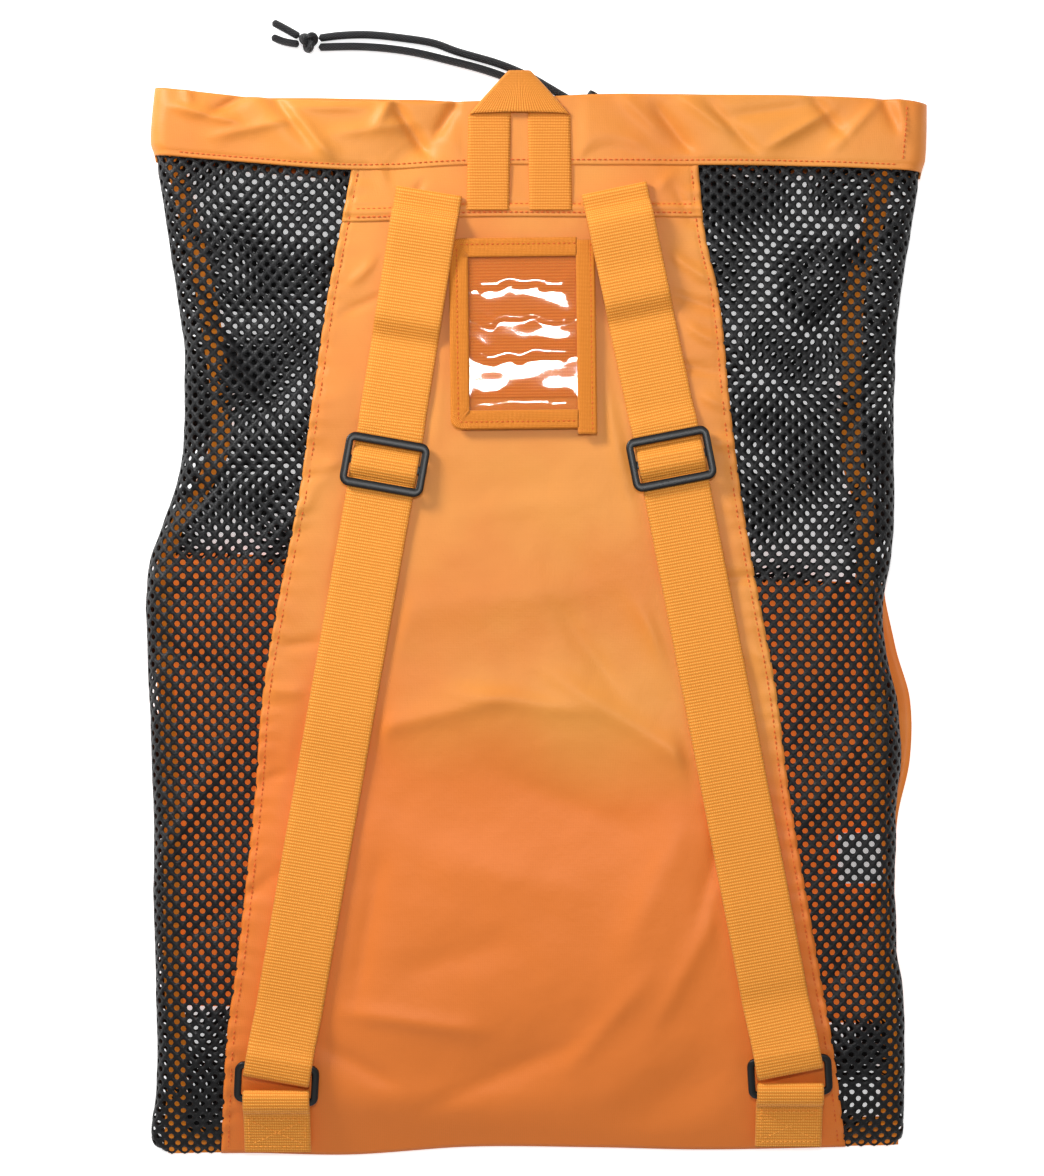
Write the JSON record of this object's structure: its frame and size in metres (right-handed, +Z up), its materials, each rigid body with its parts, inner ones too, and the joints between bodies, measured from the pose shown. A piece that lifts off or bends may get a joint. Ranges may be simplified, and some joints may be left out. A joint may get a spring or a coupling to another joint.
{
  "type": "mesh backpack",
  "caption": "Empty drawcord backpack of black net with an orange cloth back panel, webbing shoulder straps, a carrying handle, an identity window and a front pocket, lying on its front.",
  "frame": {"origin": "on the surface that the bag lies on, under the middle of the bag without its cord", "axes": "+Y from the base seam to the mouth, +X to the right of somebody looking down on the straps, +Z up from the surface"},
  "size_m": [0.4458, 0.6524, 0.0343],
  "materials": {
    "cloth": "satin woven nylon",
    "webbing": "ribbed woven webbing",
    "net": "matt knitted net",
    "plastic": "satin moulded plastic",
    "film": "clear soft film",
    "label": "plain woven label",
    "cord": "round braided cord"
  },
  "bodies": {
    "root": {"hem": "cloth", "yoke": "cloth", "back_panel": "cloth", "side_tape_left": "cloth", "side_tape_right": "cloth", "base_tape": "cloth", "pocket_back": "cloth", "pocket_front": "cloth", "strap_left": "webbing", "strap_right": "webbing", "tab_left": "webbing", "tab_right": "webbing", "handle": "webbing", "window_backing": "webbing", "window_tape_bent": "webbing", "window_tape_right": "webbing", "net_left": "net", "net_right": "net", "front_net_upper": "net", "front_net_lower": "net", "slider_left": "plastic", "slider_right": "plastic", "ring_left": "plastic", "ring_right": "plastic", "cord_lock": "plastic", "window_film": "film", "care_label": "label", "cord_upper": "cord", "cord_lower": "cord", "cord_tail_upper": "cord", "cord_tail_lower": "cord", "cord_knot": "cord"}
  },
  "joints": []
}
